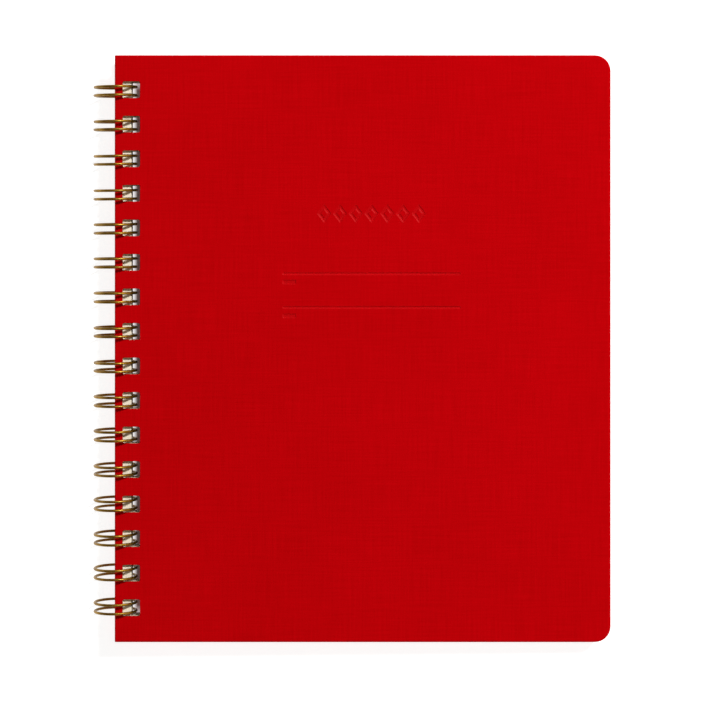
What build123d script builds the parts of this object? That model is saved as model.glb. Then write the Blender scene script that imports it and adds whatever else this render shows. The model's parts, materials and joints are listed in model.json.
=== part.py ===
from build123d import *
from math import cos, radians, sin
import os

# A cloth-covered planner bound with twin-loop wire, lying closed on its back cover.
# Frame, in mm: +X runs from the spine to the fore-edge, +Y to the head of the book and
# +Z up through the covers. The origin is under the middle of the whole book, with z = 0
# at the lowest point of the wire. Every page and the front cover turn about the centre
# line of the wire, which is parallel to Y.

# ---- driving dimensions ----

COVER_W = 182.4  # spine edge to fore-edge
COVER_H = 215.9  # head to tail
CORNER_R = 5.8  # the two fore-edge corners of a cover; the spine corners are square

CLOTH_T = 0.25
BOARD_T = 1.20
ENDPAPER_T = 0.15
TURN_IN = 15.0  # width of the cloth folded over on to the inside of a board
ENDPAPER_INSET = 3.0  # from the cover's edges at the head, the tail and the fore-edge
ENDPAPER_SPINE = 1.2  # from the cover's spine edge

LEAVES = 53
LEAF_T = 0.12
LEAF_W = 176.0
LEAF_H = 209.6

LOOPS = 16
PITCH = 12.7  # from one pair of wires to the next
HOLE_W = 6.4  # along X
HOLE_H = 6.1  # along Y
HOLE_R = 0.6  # corners of a hole in a cover
COVER_MARGIN = 2.9  # from a cover's spine edge to its holes
LEAF_MARGIN = 3.3  # from a page's spine edge to its holes

WIRE_D = 1.0
RING_OD = 16.3
PAIR_GAP = 3.15  # between the centre lines of the two wires of a pair
BEND_R = 1.2  # centre line of the bends at the foot of each pair
FOOT_DEG = 307.5  # where each pair leaves its foot, from +X towards +Z
TIP_DEG = 278.0  # where the bend at the closed tip of a pair begins
CUT_END = 1.5  # straight stub left where the wire is cut at the head and the tail

SPINE_GAP = 0.15  # from the axis of the wire to the spine edge of a cover
LEAF_HOLE_X = 6.1  # from the axis of the wire to the near side of the page holes

DEBOSS = 0.18  # depth pressed into the cloth
RULE_LENGTH = 65.1  # writing lines on the front cover
RULE_WIDTH = 0.55
RULES_Y = (27.6, 15.2)  # above the middle of the cover
TAG_SIZE = (4.6, 1.2)  # short bar under the left end of each writing line
TAG_DROP = 3.1  # from a writing line down to its bar
ORNAMENT_Y = 49.7
LOZENGES = 7
LOZENGE_SIZE = (4.7, 6.2)
LOZENGE_GAP = 1.1
LOZENGE_STROKE = 0.8
FRONT_SHIFT = 3.3  # centre of the pressed design, right of the cover's middle

# ---- derived ----

RING_R = (RING_OD - WIRE_D) / 2
AXIS_X = RING_OD / 2 - (RING_OD / 2 + SPINE_GAP + COVER_W) / 2
AXIS_Z = RING_OD / 2
AXIS = Axis((AXIS_X, 0, AXIS_Z), (0, -1, 0))

BLOCK_T = LEAVES * LEAF_T
COVER_T = CLOTH_T + BOARD_T + ENDPAPER_T
COVER_X = AXIS_X + SPINE_GAP  # spine edge of both covers
COVER_MID = COVER_X + COVER_W / 2
LEAF_X = AXIS_X + LEAF_HOLE_X - LEAF_MARGIN  # spine edge of the pages
PAIRS_Y = [PITCH * ((LOOPS - 1) / 2 - i) for i in range(LOOPS)]


# ---- covers ----


def outline(inset, spine_inset=None):
    """The face of a cover, smaller by an inset, with rounded corners at the fore-edge."""
    left = inset if spine_inset is None else spine_inset
    width, height = COVER_W - inset - left, COVER_H - 2 * inset
    flat = Pos(COVER_X + left + width / 2, 0) * Rectangle(width, height)
    if inset < CORNER_R:
        flat = fillet(flat.vertices().group_by(Axis.X)[-1], CORNER_R - inset)
    return flat


def slab(face, bottom, top):
    """The face raised from one height to another above the cover's outer face."""
    return extrude(Pos(0, 0, bottom) * face, top - bottom)


def punch(left, depth, radius):
    """The row of cutters for the wire's holes, from z = 0 up."""
    hole = RectangleRounded(HOLE_W, HOLE_H, radius) if radius else Rectangle(HOLE_W, HOLE_H)
    row = [Pos(left + HOLE_W / 2, y) * hole for y in PAIRS_Y]
    return extrude(Sketch() + row, depth)


def pressed_design():
    """Two writing lines, a short bar under each, and a row of open lozenges above them."""
    mid = COVER_MID + FRONT_SHIFT
    shapes = []
    for y in RULES_Y:
        shapes.append(Pos(mid, y) * Rectangle(RULE_LENGTH, RULE_WIDTH))
        tag_x = mid - RULE_LENGTH / 2 + TAG_SIZE[0] / 2
        shapes.append(Pos(tag_x, y - TAG_DROP) * Rectangle(*TAG_SIZE))
    half_w, half_h = LOZENGE_SIZE[0] / 2, LOZENGE_SIZE[1] / 2
    lozenge = Polygon((-half_w, 0), (0, -half_h), (half_w, 0), (0, half_h))
    middle_to_side = half_w * half_h / (half_w**2 + half_h**2) ** 0.5
    lozenge -= scale(lozenge, 1 - LOZENGE_STROKE / middle_to_side)
    for i in range(LOZENGES):
        step = (i - (LOZENGES - 1) / 2) * (LOZENGE_SIZE[0] + LOZENGE_GAP)
        shapes.append(Pos(mid + step, ORNAMENT_Y) * lozenge)
    return Sketch() + shapes


def cover():
    """Cloth, board and endpaper with the outer face at z = 0 and the inner face up."""
    inner = CLOTH_T + BOARD_T  # height of the turn-ins and of the middle of the board
    board = slab(outline(CLOTH_T), CLOTH_T, inner - CLOTH_T)
    board += slab(outline(TURN_IN), inner - CLOTH_T, inner)
    cloth = slab(outline(0), 0, inner) - board
    endpaper = slab(outline(ENDPAPER_INSET, ENDPAPER_SPINE), inner, COVER_T)
    holes = punch(COVER_X + COVER_MARGIN, COVER_T, HOLE_R)
    return {"board": board - holes, "cloth": cloth - holes, "endpaper": endpaper - holes}


# ---- wire ----


def on_ring(degrees, y):
    """A point of the ring's centre line."""
    turn = radians(degrees)
    return Vector(AXIS_X + RING_R * cos(turn), y, AXIS_Z + RING_R * sin(turn))


def onward(degrees):
    """The direction of travel round the ring."""
    return Vector(-sin(radians(degrees)), 0, cos(radians(degrees)))


def outward(degrees):
    """The direction away from the ring's axis."""
    return Vector(cos(radians(degrees)), 0, sin(radians(degrees)))


def wire_end(point, direction):
    """The round section of the wire."""
    return (Plane(origin=point, z_dir=direction) * Circle(WIRE_D / 2)).face()


def bend(start, direction, centre, axis_direction, degrees):
    """Wire bent about a centre."""
    return Solid.revolve(wire_end(start, direction), degrees, Axis(centre, axis_direction))


def straight(start, vector):
    """A straight run of wire."""
    return Solid.extrude(wire_end(start, vector), vector)


def wire():
    """One unbroken wire: a hairpin round the ring for each pair, joined foot to foot."""
    foot, tip = onward(FOOT_DEG), onward(TIP_DEG)
    sweep_deg = 360 + TIP_DEG - FOOT_DEG
    half = PAIR_GAP / 2
    low = on_ring(FOOT_DEG, 0) - foot * BEND_R  # line of the straight runs between pairs
    runs = []
    for y in PAIRS_Y:
        for side in (-half, half):
            start = on_ring(FOOT_DEG, y + side)
            runs.append(Solid.revolve(wire_end(start, foot), sweep_deg, AXIS))
            out = 1 if side > 0 else -1
            centre = on_ring(FOOT_DEG, y + side + out * BEND_R)
            runs.append(bend(start, -foot, centre, outward(FOOT_DEG) * out, 90))
        start = on_ring(TIP_DEG, y - half)
        runs.append(bend(start, tip, on_ring(TIP_DEG, y), -outward(TIP_DEG), 180))
    reach = half + BEND_R
    for y in PAIRS_Y[1:]:
        start = Vector(low.X, y + reach, low.Z)
        runs.append(straight(start, Vector(0, PITCH - 2 * reach, 0)))
    runs.append(straight(Vector(low.X, PAIRS_Y[0] + reach, low.Z), Vector(0, CUT_END, 0)))
    runs.append(straight(Vector(low.X, PAIRS_Y[-1] - reach, low.Z), Vector(0, -CUT_END, 0)))
    return runs[0].fuse(*runs[1:])


# ---- assembly ----


def page():
    """One leaf, lying at z = 0."""
    sheet = Pos(LEAF_X + LEAF_W / 2, 0) * Rectangle(LEAF_W, LEAF_H)
    return extrude(sheet, LEAF_T) - punch(LEAF_X + LEAF_MARGIN, LEAF_T, 0)


def save(shape, node):
    """One solid per file."""
    solid = shape.solids()[0]
    solid.label = node
    export_step(solid, f"parts/{node}.step")


os.makedirs("parts", exist_ok=True)

block_top = AXIS_Z + BLOCK_T / 2
back_base = AXIS_Z - BLOCK_T / 2 - COVER_T
middle = Plane(origin=(0, 0, AXIS_Z), z_dir=(0, 0, 1))
pressing = extrude(Pos(0, 0, AXIS_Z * 2 - back_base) * pressed_design(), -DEBOSS)
for name, shape in cover().items():
    back = Pos(0, 0, back_base) * shape
    front = mirror(back, about=middle)
    if name == "cloth":
        front -= pressing
    save(back, f"back_cover_{name}")
    save(front, f"front_cover_{name}")

leaf = page()
for i in range(1, LEAVES + 1):
    save(Pos(0, 0, block_top - i * LEAF_T) * leaf, f"leaf_{i:02d}")

save(wire(), "twin_loop_wire")
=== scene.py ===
import json
import random
from math import atan2, cos, pi, radians, sin, sqrt

import bpy
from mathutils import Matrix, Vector
from mathutils.geometry import delaunay_2d_cdt


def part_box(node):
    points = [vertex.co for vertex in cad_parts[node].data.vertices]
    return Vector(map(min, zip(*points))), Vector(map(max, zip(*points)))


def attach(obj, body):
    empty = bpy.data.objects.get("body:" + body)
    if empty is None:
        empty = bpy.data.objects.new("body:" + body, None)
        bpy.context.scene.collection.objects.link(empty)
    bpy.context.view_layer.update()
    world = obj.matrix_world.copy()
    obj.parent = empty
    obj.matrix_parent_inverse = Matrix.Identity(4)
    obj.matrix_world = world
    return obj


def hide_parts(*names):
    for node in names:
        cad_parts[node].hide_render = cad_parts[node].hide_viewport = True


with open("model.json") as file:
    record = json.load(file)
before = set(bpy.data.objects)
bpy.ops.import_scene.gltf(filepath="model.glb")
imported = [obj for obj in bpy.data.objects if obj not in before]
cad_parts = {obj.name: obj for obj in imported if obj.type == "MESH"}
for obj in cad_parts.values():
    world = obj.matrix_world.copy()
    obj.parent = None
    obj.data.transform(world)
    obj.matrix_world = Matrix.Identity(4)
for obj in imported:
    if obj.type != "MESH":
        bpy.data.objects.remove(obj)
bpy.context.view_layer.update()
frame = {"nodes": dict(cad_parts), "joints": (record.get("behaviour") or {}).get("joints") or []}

# A cloth-covered planner bound with twin-loop wire, lying closed on a pale floor.
# Everything is in metres. +X runs from the spine to the fore-edge and +Y to the head.

MM = 0.001
random.seed(7)

# ---- sizes that the frame doesn't give, as in the CAD model ----

WIRE_D = 1.0 * MM
PAIR_GAP = 3.15 * MM  # between the two wires of a pair
BEND_R = 1.2 * MM  # of the bends at the foot of a pair
FOOT_DEG = 307.5  # where a pair leaves its foot, from +X towards +Z
TIP_DEG = 278.0  # where the bend at its closed tip begins
CUT_END = 1.5 * MM  # straight stub at each end of the wire
LOOPS = 16
PITCH = 12.7 * MM
HOLE_W, HOLE_H, HOLE_R = 6.4 * MM, 6.1 * MM, 0.6 * MM
HOLE_MARGIN = 2.9 * MM  # from a cover's spine edge to its holes
CORNER_R = 5.8 * MM  # the fore-edge corners of a cover
CLOTH_T = 0.25 * MM
TURN_IN = 15.0 * MM
RULE_LENGTH, RULE_WIDTH = 65.1 * MM, 0.55 * MM
RULES_Y = (27.6 * MM, 15.2 * MM)
TAG_SIZE, TAG_DROP = (4.6 * MM, 1.2 * MM), 3.1 * MM
ORNAMENT_Y = 49.7 * MM
LOZENGES, LOZENGE_SIZE = 7, (4.7 * MM, 6.2 * MM)
LOZENGE_GAP, LOZENGE_STROKE = 1.1 * MM, 0.8 * MM
FRONT_SHIFT = 3.3 * MM  # centre of the pressed design, right of the cover's middle

# ---- finer shapes, which only show here ----

SPINE_CORNER_R = 0.35 * MM
TURN_IN_CORNER_R = 0.4 * MM
BAR_CORNER_R = 0.22 * MM
EDGE_R = 0.62 * MM  # where the cloth goes round the edge of the board
EDGE_FLAT = 0.08 * MM  # flat rim that keeps the shading of the face off the round edge
LIP_R = 0.12 * MM  # cloth edge round a punched hole
LIP_FLAT = 0.06 * MM
DEBOSS = 0.22 * MM
THREAD_PITCH = 0.46 * MM  # of the book cloth
# the side of a pressed line: how far outside its outline, and the share of its depth there
PRESSED_SIDE = [(0.34 * MM, 0.0), (0.28 * MM, 0.0), (0.20 * MM, 0.06), (0.12 * MM, 0.22),
                (0.04 * MM, 0.5), (-0.04 * MM, 0.78), (-0.11 * MM, 0.94), (-0.17 * MM, 1.0),
                (-0.20 * MM, 1.0)]
FACE_GRID, PRESSED_GRID = 9 * MM, 4 * MM  # spacing of the points inside flat faces
GRID_ROOM = 1.5 * MM  # between those points and a void
SAME_POINT = 1e-9
LEAN = -0.5 * MM  # the top of every pair stands nearer the tail than its foot
GAP_PLAY, SEAT_PLAY, LEAN_PLAY = 0.09 * MM, 0.10 * MM, 0.16 * MM  # most that a pair differs by

# ---- printing on the pages ----

TEXT_SPINE, TEXT_FORE_EDGE, TEXT_TOP = 17 * MM, 9 * MM, 12 * MM  # margins
LINE_PITCH, LINES_DOWN, HEAVY_EVERY = 6.35 * MM, 30, 10
DATE_COLUMN = 22 * MM
FINE_HALF, HEAVY_HALF = 0.07 * MM, 0.16 * MM  # half the width of a printed line
INK_SOFT = 0.08 * MM  # its blurred edge
WHOLE_LINE = 0.1 * MM  # room for the full width of the first and last lines
FINE_INK = 0.45  # how dark a fine line is beside a heavy one
BORDERS = [(0.0, 0.30 * MM), (2.2 * MM, 0.10 * MM)]  # inset and half width, on the first leaf

# ---- studio ----

FLOOR_GLOW = 0.84  # the floor is a white sheet lit from below as well
PAINTED_SHADE_GLOW = 0.03  # the share of it that is left under the book, as painted shade
SPINE_FADE = (5.8 * MM, 7.3 * MM)  # where the glow fades into the painted shade under the book, from the axis of the wire
FORE_EDGE_FADE = (176 * MM, 170 * MM)
ENDS_FADE = (102 * MM, 96 * MM)
HORIZON_BAND = (0.16, 0.36)  # sines of the elevations between which the white band fades
HORIZON_COLOUR = (0.98, 0.99, 1.0)
CEILING_COLOUR = (0.17, 0.142, 0.102)
KEY_LIGHT = {"place": (0.85, 0.85, 1.40), "aim": (0.03, 0, 0.01), "size": 0.28, "watts": 38.0,
             "colour": (1.0, 0.985, 0.96)}
FILL_LIGHT = {"place": (0.7, 0.2, 1.4), "aim": (0.02, 0, 0), "size": 1.6, "watts": 1.5,
              "colour": (1, 1, 1)}
FLOOR_SIZE = 8.0
FLOOR_GAP = 0.05 * MM  # under the book, so that the two never share a plane
FRAME_W = 0.2647  # width of the view on the front cover
VIEW_X, VIEW_Y = -0.00098, -0.00415  # middle of the view, from the middle of the cover
DISTANCE = 0.846  # from the camera to the front cover
SHIFT = -0.12
SENSOR = 36.0  # millimetres, as bpy wants it

# ---- places read from the frame ----

hinge = next(joint for joint in frame["joints"] if joint["name"] == "front_cover_turn")
AXIS_X, _, AXIS_Z = hinge["pos_m"]
RING_R = AXIS_Z - WIRE_D / 2
PAIRS_Y = [PITCH * ((LOOPS - 1) / 2 - i) for i in range(LOOPS)]
ROOT = "back_cover_and_wire"

MIX_A, MIX_B, MIX_OUT = 6, 7, 2  # the Mix node's sockets for colours


# ---- node helpers ----


class Nodes:
    """A material's node tree, with short calls for what the materials need."""

    def __init__(self, name):
        self.material = bpy.data.materials.new(name)
        self.material.use_nodes = True
        self.tree = self.material.node_tree
        self.tree.nodes.clear()
        self.shader = self.tree.nodes.new("ShaderNodeBsdfPrincipled")
        out = self.tree.nodes.new("ShaderNodeOutputMaterial")
        self.link(self.shader.outputs[0], out.inputs[0])
        self.place = self.tree.nodes.new("ShaderNodeTexCoord").outputs["Object"]

    def link(self, a, b):
        self.tree.links.new(a, b)

    def put(self, value, socket):
        """A number, a tuple or another node's output, into a socket."""
        if isinstance(value, bpy.types.NodeSocket):
            self.link(value, socket)
        else:
            socket.default_value = value

    def math(self, kind, *values):
        node = self.tree.nodes.new("ShaderNodeMath")
        node.operation = kind
        for value, socket in zip(values, node.inputs):
            self.put(value, socket)
        return node.outputs[0]

    def add(self, a, b):
        return self.math("ADD", a, b)

    def less(self, a, b):
        return self.math("SUBTRACT", a, b)

    def times(self, a, b):
        return self.math("MULTIPLY", a, b)

    def most(self, a, b):
        return self.math("MAXIMUM", a, b)

    def size(self, a):
        return self.math("ABSOLUTE", a)

    def blend(self, *shares):
        """The sum of values, each times its weight."""
        total = None
        for value, weight in shares:
            part = self.times(value, weight)
            total = part if total is None else self.add(total, part)
        return total

    def split(self, vector):
        node = self.tree.nodes.new("ShaderNodeSeparateXYZ")
        self.put(vector, node.inputs[0])
        return node.outputs

    def join(self, x, y, z):
        node = self.tree.nodes.new("ShaderNodeCombineXYZ")
        for value, socket in zip((x, y, z), node.inputs):
            self.put(value, socket)
        return node.outputs[0]

    def noise(self, vector, scale, detail=2.0, roughness=0.5):
        node = self.tree.nodes.new("ShaderNodeTexNoise")
        self.put(vector, node.inputs["Vector"])
        node.inputs["Scale"].default_value = scale
        node.inputs["Detail"].default_value = detail
        node.inputs["Roughness"].default_value = roughness
        return node.outputs[0]

    def stretched(self, x, y, z, detail):
        """Noise with its own scale along each direction, already in the coordinates."""
        return self.noise(self.join(x, y, z), 1.0, detail)

    def ramp(self, value, low, high, to_low=0.0, to_high=1.0):
        """A value moved from one range to another, and held at its ends."""
        node = self.tree.nodes.new("ShaderNodeMapRange")
        node.clamp = True
        for v, socket in zip((value, low, high, to_low, to_high), node.inputs):
            self.put(v, socket)
        return node.outputs[0]

    def mix(self, factor, a, b):
        """A colour between two colours."""
        node = self.tree.nodes.new("ShaderNodeMix")
        node.data_type = "RGBA"
        self.put(factor, node.inputs[0])
        self.put((*a, 1.0) if isinstance(a, tuple) else a, node.inputs[MIX_A])
        self.put((*b, 1.0) if isinstance(b, tuple) else b, node.inputs[MIX_B])
        return node.outputs[MIX_OUT]

    def bump(self, height, distance, strength, under=None):
        """A normal from a height, on top of another normal if there is one."""
        node = self.tree.nodes.new("ShaderNodeBump")
        node.inputs["Strength"].default_value = strength
        node.inputs["Distance"].default_value = distance
        self.put(height, node.inputs["Height"])
        if under is not None:
            self.put(under, node.inputs["Normal"])
        return node.outputs[0]

    def surface(self, sockets):
        """Values or outputs for the shader's own sockets, by name."""
        for name, value in sockets.items():
            self.put(value, self.shader.inputs[name])
        return self.material


# ---- materials ----


def cloth_material(name, gloss, rough, weave):
    """Red linen book cloth, in a plain weave with uneven threads."""
    n = Nodes(name)
    x, y, z = n.split(n.place)
    u, v = n.add(x, z), n.add(y, z)  # z carries the weave down the edges of a cover
    across, along = 1800.0, 60.0  # scales of the slubs, across a thread and along it
    per_thread = pi / THREAD_PITCH
    wander = 0.8  # how far, in radians, the slubs push a thread off its place
    warp_slub = n.stretched(n.times(u, across), n.times(v, along), 0.0, 2)
    weft_slub = n.stretched(n.times(u, along), n.times(v, across), 3.0, 2)
    a = n.math("SINE", n.blend((u, per_thread), (warp_slub, wander)))
    b = n.math("SINE", n.blend((v, per_thread), (weft_slub, wander)))
    # threads cross over and under in a chequer
    over = n.times(n.times(a, b), 0.35)
    threads = n.most(n.add(n.size(a), over), n.less(n.size(b), over))
    slubs = n.blend((warp_slub, 0.5), (weft_slub, 0.5))
    broad = n.noise(n.place, 22.0, 3)
    fibre = n.noise(n.place, 9000.0, 1)
    tone = n.blend((slubs, 0.48), (threads, 0.18), (broad, 0.16), (fibre, 0.10))
    height = n.blend((threads, 0.55), (slubs, 0.9))
    uneven_face = n.bump(broad, 0.25 * MM, 0.6)
    return n.surface({
        "Base Color": n.mix(n.ramp(tone, 0.30, 0.74), (0.35, 0.0, 0.0008), (0.52, 0.0002, 0.0028)),
        "Roughness": n.ramp(slubs, 0.3, 0.7, rough + 0.06, rough - 0.08),
        "Specular IOR Level": gloss,
        "Sheen Weight": 0.05,
        "Sheen Roughness": 0.4,
        "Sheen Tint": (1.0, 0.0, 0.01, 1.0),
        "Normal": n.bump(height, weave, 1.0, uneven_face),
    })


def paper_colour(n, low, high):
    """The colour of uncoated paper, and its fibres."""
    fibre = n.noise(n.place, 2600.0, 3, 0.6)
    cloud = n.noise(n.place, 35.0, 2)
    tone = n.blend((fibre, 0.6), (cloud, 0.4))
    return n.mix(n.ramp(tone, 0.3, 0.7), low, high), fibre


def paper_surface(n, colour, fibre):
    """A dull, slightly fibrous surface."""
    return n.surface({
        "Base Color": colour,
        "Roughness": 0.82,
        "Specular IOR Level": 0.3,
        "Normal": n.bump(fibre, 0.02 * MM, 0.7),
    })


def endpaper_material():
    """Plain cream endpaper."""
    n = Nodes("endpaper")
    return paper_surface(n, *paper_colour(n, (0.78, 0.72, 0.60), (0.86, 0.81, 0.69)))


def line(n, off, half):
    """1 where a distance is below half a line's width, with a soft edge."""
    return n.ramp(off, half - INK_SOFT / 2, half + INK_SOFT / 2, 1.0, 0.0)


def within(n, value, centre, half):
    """1 where the value is within half of centre."""
    return line(n, n.size(n.less(value, centre)), half)


def every(n, value, pitch, half):
    """1 on lines a pitch apart."""
    return line(n, n.math("PINGPONG", value, pitch / 2), half)


def border_ink(n, x, y, centre_x, half_w, half_h):
    """Printed rectangles, one inside the other."""
    ink = None
    for inset, half in BORDERS:
        off_x = n.less(n.size(n.less(x, centre_x)), half_w - inset)
        off_y = n.less(n.size(y), half_h - inset)
        border = line(n, n.size(n.most(off_x, off_y)), half)
        ink = border if ink is None else n.most(ink, border)
    return ink


def ruled_ink(n, x, y, centre_x, half_w, top):
    """Fine lines, a heavy one for each day, and a line beside the dates."""
    half_h = LINES_DOWN * LINE_PITCH / 2
    text = n.times(within(n, x, centre_x, half_w), within(n, y, top - half_h, half_h + WHOLE_LINE))
    down = n.less(y, top)
    fine = n.times(n.times(every(n, down, LINE_PITCH, FINE_HALF), text), FINE_INK)
    heavy = n.times(every(n, down, LINE_PITCH * HEAVY_EVERY, HEAVY_HALF), text)
    dates = n.times(within(n, x, centre_x - half_w + DATE_COLUMN, FINE_HALF), text)
    return n.most(n.most(fine, heavy), n.times(dates, FINE_INK))


def flatness(n):
    """1 on the faces of a leaf and 0 on its cut edges, however it is turned."""
    transform = n.tree.nodes.new("ShaderNodeVectorTransform")
    transform.vector_type = "NORMAL"
    transform.convert_from, transform.convert_to = "WORLD", "OBJECT"
    n.link(n.tree.nodes.new("ShaderNodeNewGeometry").outputs["True Normal"], transform.inputs[0])
    return n.ramp(n.size(n.split(transform.outputs[0])[2]), 0.4, 0.6)


def page_material(name, title=False):
    """Cream page paper with printed lines, and cut edges with stripes of painted shade that show
    leaf from leaf.
    """
    n = Nodes(name)
    x, y, z = n.split(n.place)
    colour, fibre = paper_colour(n, (0.80, 0.735, 0.60), (0.885, 0.83, 0.705))
    low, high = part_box("leaf_02")
    left, right = low[0] + TEXT_SPINE, high[0] - TEXT_FORE_EDGE
    top = high[1] - TEXT_TOP
    printed = border_ink if title else ruled_ink
    ink = printed(n, x, y, (left + right) / 2, (right - left) / 2, top)
    flat = flatness(n)
    ink = n.times(n.times(ink, flat), n.ramp(fibre, 0.2, 0.6, 0.7, 1.0))
    # painted shade: darker stripes on the cut edges, for the shade between the leaves
    layers = n.stretched(n.times(x, 6.0), n.times(y, 6.0), n.times(z, 5200.0), 2)
    side = n.times(n.less(1.0, flat), n.ramp(layers, 0.38, 0.62, 0.62, 0.0))
    colour = n.mix(side, colour, (0.46, 0.39, 0.29))
    colour = n.mix(ink, colour, (0.16, 0.145, 0.13))
    return paper_surface(n, colour, fibre)


def board_material():
    """Grey-brown bookbinding board, in pressed layers where it is cut."""
    n = Nodes("grey_board")
    x, y, z = n.split(n.place)
    layers = n.stretched(n.times(x, 300.0), n.times(y, 300.0), n.times(z, 7000.0), 3)
    fleck = n.noise(n.place, 3200.0, 3, 0.7)
    tone = n.blend((layers, 0.55), (fleck, 0.45))
    return n.surface({
        "Base Color": n.mix(n.ramp(tone, 0.32, 0.68), (0.15, 0.125, 0.075), (0.36, 0.31, 0.21)),
        "Roughness": 0.9,
        "Specular IOR Level": 0.2,
        "Normal": n.bump(tone, 0.06 * MM, 0.8),
    })


def wire_material():
    """Antique-gold wire, worn a little brighter in places."""
    n = Nodes("gold_wire")
    cloud = n.noise(n.place, 420.0, 3)
    fine = n.noise(n.place, 5200.0, 2)
    return n.surface({
        "Base Color": n.mix(n.ramp(cloud, 0.35, 0.68), (0.20, 0.103, 0.008), (0.32, 0.180, 0.020)),
        "Metallic": 1.0,
        "Roughness": n.add(n.ramp(cloud, 0.3, 0.7, 0.42, 0.35), n.times(fine, 0.08)),
        "Coat Weight": 0.2,
        "Coat Roughness": 0.2,
        "Normal": n.bump(fine, 0.006 * MM, 0.6),
    })


def floor_material():
    """Plain pale studio floor that glows, with painted shade where the book covers it: its glow is
    turned down there.
    """
    n = Nodes("studio_floor")
    # painted shade under the book: the glow is turned down inside its outline, fading in from the
    # spine, which the wire holds off the floor
    x, y, _ = n.split(n.place)
    painted_shade_under_book = n.times(n.ramp(x, *SPINE_FADE), n.ramp(x, *FORE_EDGE_FADE))
    painted_shade_under_book = n.times(painted_shade_under_book, n.ramp(n.size(y), *ENDS_FADE))
    return n.surface({
        "Base Color": n.mix(n.noise(n.place, 3.0, 1), (0.55, 0.55, 0.55), (0.56, 0.56, 0.56)),
        "Roughness": 0.9,
        "Specular IOR Level": 0.1,
        "Emission Color": (0.965, 0.985, 1.0, 1.0),
        # painted shade: the glow drops to a small share of itself under the book
        "Emission Strength": n.ramp(painted_shade_under_book, 0.0, 1.0, FLOOR_GLOW, FLOOR_GLOW * PAINTED_SHADE_GLOW),
    })


# ---- mesh helpers ----


class Sheet:
    """Vertices and faces gathered for one mesh."""

    def __init__(self):
        self.verts, self.faces = [], []
        self.pressed = []  # first face of each pressed shape, and the one after its last

    def ring(self, points, z):
        """Vertices round an outline at a height."""
        start = len(self.verts)
        self.verts += [(px, py, z) for px, py in points]
        return list(range(start, len(self.verts)))

    def bridge(self, a, b):
        """Quads between two rings with the same number of points."""
        for i in range(len(a)):
            j = (i + 1) % len(a)
            self.faces.append((a[i], a[j], b[j], b[i]))

    def bridge_all(self, rings, forwards):
        """Quads between each ring and the next."""
        for a, b in zip(rings, rings[1:]):
            self.bridge(*((a, b) if forwards else (b, a)))

    def add(self, name, materials, body, node, slot):
        """The finished piece, in place of a CAD node."""
        mesh = bpy.data.meshes.new(name)
        mesh.from_pydata(self.verts, [], self.faces)
        mesh.validate()
        mesh.update()
        for polygon in mesh.polygons:
            polygon.use_smooth = True
            polygon.material_index = int(any(a <= polygon.index < b for a, b in self.pressed))
        for material in materials:
            mesh.materials.append(material)
        piece = bpy.data.objects.new(name, mesh)
        bpy.context.scene.collection.objects.link(piece)
        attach(piece, body)
        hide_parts(node)


def rounded(x0, x1, y0, y1, radii, grow, steps=5):
    """A rounded rectangle, anticlockwise from the low corner, grown outwards by a distance."""
    least = 0.01 * MM
    points = []
    corners = [(x0, y0, pi), (x1, y0, 1.5 * pi), (x1, y1, 0.0), (x0, y1, 0.5 * pi)]
    for (cx, cy, start), corner_r in zip(corners, radii):
        radius = max(corner_r + grow, least)
        # where the corner has closed up, it moves in with the sides
        reach = radius - grow
        ix = cx + (reach if cx == x0 else -reach)
        iy = cy + (reach if cy == y0 else -reach)
        for k in range(steps + 1):
            angle = start + pi / 2 * k / steps
            points.append((ix + radius * cos(angle), iy + radius * sin(angle)))
    return points


def inside(point, polygon):
    """Is a point inside a polygon?"""
    px, py = point
    found = False
    for (ax, ay), (bx, by) in zip(polygon, polygon[1:] + polygon[:1]):
        if (ay > py) != (by > py) and px < (bx - ax) * (py - ay) / (by - ay) + ax:
            found = not found
    return found


class Region:
    """A flat region with voids in it."""

    def __init__(self, outer, voids):
        self.outer, self.voids = outer, voids
        self.box = self.extent(outer)
        self.void_boxes = [self.extent(void) for void in voids]

    @staticmethod
    def extent(outline):
        """Least and greatest x, then least and greatest y."""
        xs, ys = zip(*outline)
        return min(xs), max(xs), min(ys), max(ys)

    def holds(self, point, room=0.0):
        """Is a point in the region, and with room given, also clear of the voids' boxes?"""
        if not inside(point, self.outer):
            return False
        px, py = point
        for (x0, x1, y0, y1), void in zip(self.void_boxes, self.voids):
            near = x0 - room < px < x1 + room and y0 - room < py < y1 + room
            if near and (room or inside(point, void)):
                return False
        return True

    def grid(self, spacing):
        """Evenly spaced points inside, clear of the voids."""
        x0, x1, y0, y1 = self.box
        nx, ny = int((x1 - x0) / spacing), int((y1 - y0) / spacing)
        every_point = ((x0 + (x1 - x0) * i / nx, y0 + (y1 - y0) * j / ny)
                       for i in range(1, nx) for j in range(1, ny))
        return [point for point in every_point if self.holds(point, GRID_ROOM)]


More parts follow.
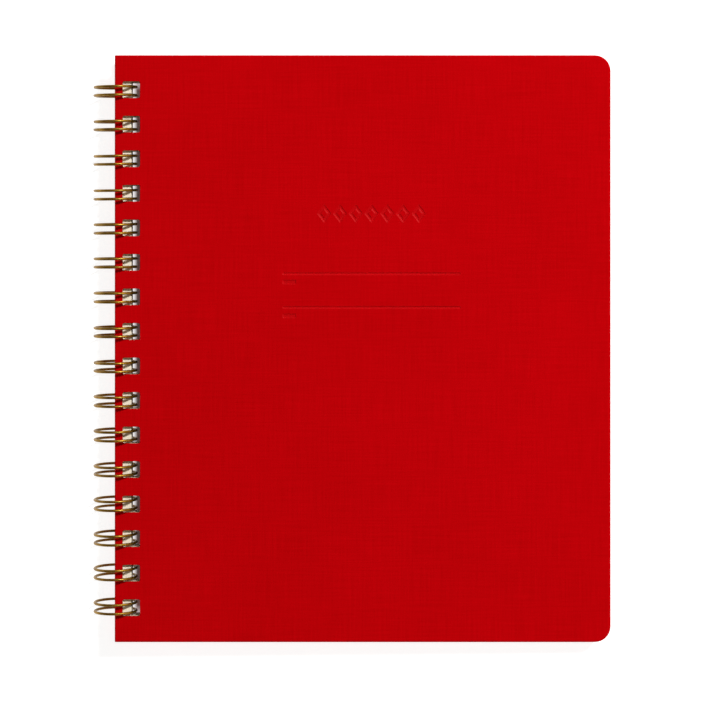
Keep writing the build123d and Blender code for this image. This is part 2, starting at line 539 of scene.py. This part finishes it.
def fill(sheet, outer, voids, z, up, spacing=FACE_GRID):
    """A flat face at z, between an outer ring and the rings of its voids."""
    rings = [outer] + voids
    flat, edges, origin = [], [], []
    for ring in rings:
        start = len(flat)
        flat += [Vector(sheet.verts[i][:2]) for i in ring]
        origin += ring
        edges += [(start + i, start + (i + 1) % len(ring)) for i in range(len(ring))]
    outlines = [[sheet.verts[i][:2] for i in ring] for ring in rings]
    region = Region(outlines[0], outlines[1:])
    flat += [Vector(point) for point in region.grid(spacing)]
    made, _, triangles, source, _, _ = delaunay_2d_cdt(flat, edges, [], 0, SAME_POINT)
    index = []
    for point, came in zip(made, source):
        old = next((origin[s] for s in came if s < len(origin)), None)
        if old is None:
            sheet.verts.append((point.x, point.y, z))
            old = len(sheet.verts) - 1
        index.append(old)
    for triangle in triangles:
        middle = (sum(made[i].x for i in triangle) / 3, sum(made[i].y for i in triangle) / 3)
        if not region.holds(middle):
            continue
        face = [index[i] for i in triangle]
        a, b, c = (Vector(sheet.verts[i]) for i in face)
        if ((b - a).cross(c - a).z > 0) != up:
            face.reverse()
        sheet.faces.append(tuple(face))


def round_over(radius, steps):
    """Insets and drops of a quarter round, from the flat face to the wall."""
    turns = [pi / 2 * k / steps for k in range(steps + 1)]
    return [(radius * (1 - sin(t)), radius * (1 - cos(t))) for t in turns]


# ---- covers ----


def bar(x, y, wide, tall):
    """The outline of a bar, as a function of how far it is grown."""
    sides = (x - wide / 2, x + wide / 2, y - tall / 2, y + tall / 2)
    return lambda grow: rounded(*sides, [BAR_CORNER_R] * 4, grow, 3)


def lozenge(x, y):
    """The outline of a lozenge, as a function of how far it is grown."""
    half_w, half_h = LOZENGE_SIZE[0] / 2, LOZENGE_SIZE[1] / 2
    slant = sqrt(half_w**2 + half_h**2)
    steps = 6

    def outline(grow):
        wide, tall = half_w + grow * slant / half_h, half_h + grow * slant / half_w
        tips = [(x - wide, y), (x, y - tall), (x + wide, y), (x, y + tall)]
        return [(ax + (bx - ax) * k / steps, ay + (by - ay) * k / steps)
                for (ax, ay), (bx, by) in zip(tips, tips[1:] + tips[:1]) for k in range(steps)]

    return outline


def pressed_shapes(mid):
    """The outlines pressed in: two writing lines, a bar under each, and a row of open lozenges.

    With each goes the width of its stroke, if it has an island inside.
    """
    shapes = []
    for y in RULES_Y:
        tag_x = mid - RULE_LENGTH / 2 + TAG_SIZE[0] / 2
        shapes.append((bar(mid, y, RULE_LENGTH, RULE_WIDTH), None))
        shapes.append((bar(tag_x, y - TAG_DROP, *TAG_SIZE), None))
    for i in range(LOZENGES):
        step = (i - (LOZENGES - 1) / 2) * (LOZENGE_SIZE[0] + LOZENGE_GAP)
        shapes.append((lozenge(mid + step, ORNAMENT_Y), LOZENGE_STROKE))
    return shapes


def press(sheet, mid, face):
    """The pressed design, with its floors and islands. Gives back the rings round it."""
    rims = []
    for shape, stroke in pressed_shapes(mid):
        first = len(sheet.faces)
        side = [sheet.ring(shape(grow), face - DEBOSS * deep) for grow, deep in PRESSED_SIDE]
        sheet.bridge_all(side, True)
        island = []
        if stroke:
            island = [sheet.ring(shape(-stroke - grow), face - DEBOSS * deep)
                      for grow, deep in PRESSED_SIDE]
            sheet.bridge_all(island, False)
        fill(sheet, side[-1], island[-1:], face - DEBOSS, True, PRESSED_GRID)
        sheet.pressed.append((first, len(sheet.faces)))
        if island:
            fill(sheet, island[0], [], face, True, PRESSED_GRID)
        rims.append(side[0])
    return rims


def cover_cloth(side, body):
    """The cloth of a cover: outer face, round the edges, and the turn-ins inside."""
    node = f"{side}_cover_cloth"
    low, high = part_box(node)
    front = side == "front"
    z_out, z_in = (high[2], low[2]) if front else (low[2], high[2])
    way = 1 if front else -1  # from the inner face to the outer
    radii = [SPINE_CORNER_R, CORNER_R, CORNER_R, SPINE_CORNER_R]
    sheet = Sheet()

    def edge(inset, z):
        return sheet.ring(rounded(low[0], high[0], low[1], high[1], radii, -inset, 8), z)

    def hole(y, grow, z):
        left = low[0] + HOLE_MARGIN
        sides = (left, left + HOLE_W, y - HOLE_H / 2, y + HOLE_H / 2)
        return sheet.ring(rounded(*sides, [HOLE_R] * 4, grow), z)

    path = [(EDGE_R + EDGE_FLAT, 0.0)] + round_over(EDGE_R, 6)
    outer = [edge(inset, z_out - way * drop) for inset, drop in path]
    under = [edge(inset, z_in + way * drop) for inset, drop in reversed(path)]
    sheet.bridge_all(outer + under, not front)

    lip = [(LIP_R + LIP_FLAT, 0.0)] + round_over(LIP_R, 3) + [(0.0, CLOTH_T)]
    outer_rims, inner_rims = [], []
    for y in PAIRS_Y:
        down = [hole(y, grow, z_out - way * drop) for grow, drop in lip]
        back = [hole(y, grow, z_in + way * drop) for grow, drop in lip]
        sheet.bridge_all(down, front)
        sheet.bridge_all(back, not front)
        outer_rims.append(down[0])
        inner_rims.append(back[0])

    if front:
        outer_rims += press(sheet, (low[0] + high[0]) / 2 + FRONT_SHIFT, z_out)
    fill(sheet, outer[0], outer_rims, z_out, front)

    sides = (low[0] + TURN_IN, high[0] - TURN_IN, low[1] + TURN_IN, high[1] - TURN_IN)
    turned_in = rounded(*sides, [TURN_IN_CORNER_R] * 4, 0.0, 2)
    inner = [sheet.ring(turned_in, z) for z in (z_in, z_in + way * CLOTH_T)]
    sheet.bridge_all(inner, not front)
    fill(sheet, under[-1], inner_rims + [inner[0]], z_in, not front)
    sheet.add(f"{side}_cloth", [CLOTH, PRESSED_CLOTH], body, node, "cover_cloth")


# ---- wire ----


def on_ring(degrees, y):
    """A point of the ring's centre line."""
    turn = radians(degrees)
    return Vector((AXIS_X + RING_R * cos(turn), y, AXIS_Z + RING_R * sin(turn)))


def onward(degrees):
    """The direction of travel round the ring."""
    return Vector((-sin(radians(degrees)), 0, cos(radians(degrees))))


def play(most):
    """A small difference from one pair to the next."""
    return random.uniform(-most, most)


def wire_path():
    """Points down the middle of the whole wire, from the head to the tail."""
    foot, tip = onward(FOOT_DEG), onward(TIP_DEG)
    across = Vector((0, 1, 0))
    sweep = 360 + TIP_DEG - FOOT_DEG
    round_steps, tip_steps, foot_steps = 72, 12, 8
    points = []
    for y in PAIRS_Y:
        half = PAIR_GAP / 2 + play(GAP_PLAY)
        middle = y + play(SEAT_PLAY)
        lean = LEAN + play(LEAN_PLAY)

        def limb(k, side):
            """A point of one of the two wires, k steps round the ring."""
            t = k / round_steps
            return on_ring(FOOT_DEG + sweep * t, middle + side + lean * sin(pi * t) ** 2)

        centre = on_ring(FOOT_DEG, middle + half + BEND_R)
        for k in range(foot_steps + 1):
            a = pi / 2 * k / foot_steps
            points.append(centre - foot * BEND_R * cos(a) - across * BEND_R * sin(a))
        points += [limb(k, half) for k in range(1, round_steps + 1)]
        centre = on_ring(TIP_DEG, middle)
        for k in range(1, tip_steps + 1):
            a = pi * k / tip_steps
            points.append(centre + tip * half * sin(a) + across * half * cos(a))
        points += [limb(k, -half) for k in range(round_steps - 1, -1, -1)]
        centre = on_ring(FOOT_DEG, middle - half - BEND_R)
        for k in range(1, foot_steps + 1):
            a = pi / 2 * k / foot_steps
            points.append(centre + across * BEND_R * cos(a) - foot * BEND_R * sin(a))
    return [points[0] + across * CUT_END] + points + [points[-1] - across * CUT_END]


def wire_piece():
    """The round wire swept down its path, with softened cut ends."""
    points = wire_path()
    last = len(points) - 1
    sides = 14
    radius, end_radius, end_round = WIRE_D / 2, WIRE_D / 2 * 0.8, 0.1 * MM
    tangents = [(points[min(i + 1, last)] - points[max(i - 1, 0)]).normalized()
                for i in range(last + 1)]
    normal = tangents[0].orthogonal().normalized()
    sheet = Sheet()
    rings = []

    def section(centre, tangent, wide):
        """A ring of vertices round the wire."""
        other = tangent.cross(normal)
        start = len(sheet.verts)
        for k in range(sides):
            a = 2 * pi * k / sides
            sheet.verts.append(tuple(centre + (normal * cos(a) + other * sin(a)) * wide))
        rings.append(list(range(start, start + sides)))

    section(points[0], tangents[0], end_radius)
    for i, (point, tangent) in enumerate(zip(points, tangents)):
        normal = (normal - tangent * normal.dot(tangent)).normalized()
        shift = {0: end_round, last: -end_round}.get(i, 0.0)
        section(point + tangent * shift, tangent, radius)
    section(points[-1], tangents[-1], end_radius)
    sheet.bridge_all(rings, True)
    sheet.faces.append(tuple(reversed(rings[0])))
    sheet.faces.append(tuple(rings[-1]))
    sheet.add("twin_loops", [WIRE], ROOT, "twin_loop_wire", "gold_wire")


# ---- build ----

CLOTH = cloth_material("book_cloth", gloss=0.01, rough=0.79, weave=0.045 * MM)
# glossier and flatter where it has been pressed
PRESSED_CLOTH = cloth_material("pressed_book_cloth", gloss=0.05, rough=0.42, weave=0.02 * MM)
WIRE = wire_material()
PAGE = page_material("page_paper")
TITLE_PAGE = page_material("title_page_paper", title=True)
ENDPAPER = endpaper_material()
BOARD = board_material()

cover_cloth("front", "front_cover")
cover_cloth("back", ROOT)
wire_piece()


def dress(node, material):
    """Put a material on a CAD node that keeps its shape."""
    piece = frame["nodes"][node]
    piece.data.materials.clear()
    piece.data.materials.append(material)


for name in frame["nodes"]:
    if name.startswith("leaf_"):
        dress(name, TITLE_PAGE if name == "leaf_01" else PAGE)
    elif name.endswith("_endpaper"):
        dress(name, ENDPAPER)
    elif name.endswith("_board"):
        dress(name, BOARD)

# ---- floor, light and camera ----


def studio_floor():
    """A floor under the lowest line of the wire and the fore-edge of the back cover."""
    low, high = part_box("back_cover_cloth")
    slope = atan2(low[2], high[0] - AXIS_X)
    bpy.ops.mesh.primitive_plane_add(size=FLOOR_SIZE, location=(AXIS_X, 0, -FLOOR_GAP),
                                     rotation=(0, -slope, 0))
    floor = bpy.context.object
    floor.name = "studio_floor"
    floor.data.materials.append(floor_material())


def area_light(name, place, aim, size, watts, colour):
    """A square lamp that points at a spot."""
    lamp = bpy.data.lights.new(name, "AREA")
    lamp.size = size
    lamp.energy = watts
    lamp.color = colour
    thing = bpy.data.objects.new(name, lamp)
    bpy.context.scene.collection.objects.link(thing)
    thing.location = place
    thing.rotation_euler = (Vector(aim) - Vector(place)).to_track_quat("-Z", "Y").to_euler()


def studio_world():
    """A white band round the horizon under a dim warm ceiling."""
    world = bpy.data.worlds.new("studio")
    bpy.context.scene.world = world
    world.use_nodes = True
    tree = world.node_tree
    coords = tree.nodes.new("ShaderNodeTexCoord")
    split = tree.nodes.new("ShaderNodeSeparateXYZ")
    rise = tree.nodes.new("ShaderNodeMapRange")
    rise.inputs["From Min"].default_value, rise.inputs["From Max"].default_value = HORIZON_BAND
    mix = tree.nodes.new("ShaderNodeMix")
    mix.data_type = "RGBA"
    mix.inputs[MIX_A].default_value = (*HORIZON_COLOUR, 1.0)
    mix.inputs[MIX_B].default_value = (*CEILING_COLOUR, 1.0)
    tree.links.new(coords.outputs["Generated"], split.inputs[0])
    tree.links.new(split.outputs[2], rise.inputs[0])
    tree.links.new(rise.outputs[0], mix.inputs[0])
    tree.links.new(mix.outputs[MIX_OUT], tree.nodes["Background"].inputs[0])


def studio_camera():
    """A camera straight above the front cover, a little off its middle."""
    low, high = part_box("front_cover_cloth")
    data = bpy.data.cameras.new("camera")
    data.sensor_width = SENSOR
    data.lens = SENSOR * DISTANCE / FRAME_W
    data.shift_y = SHIFT
    data.clip_start = 0.01
    camera = bpy.data.objects.new("camera", data)
    bpy.context.scene.collection.objects.link(camera)
    centre_x = (low[0] + high[0]) / 2 + VIEW_X
    camera.location = (centre_x, VIEW_Y - SHIFT * FRAME_W, high[2] + DISTANCE)
    bpy.context.scene.camera = camera


studio_floor()
area_light("key", **KEY_LIGHT)
area_light("fill", **FILL_LIGHT)
studio_world()
bpy.context.scene.view_settings.view_transform = "Standard"
studio_camera()
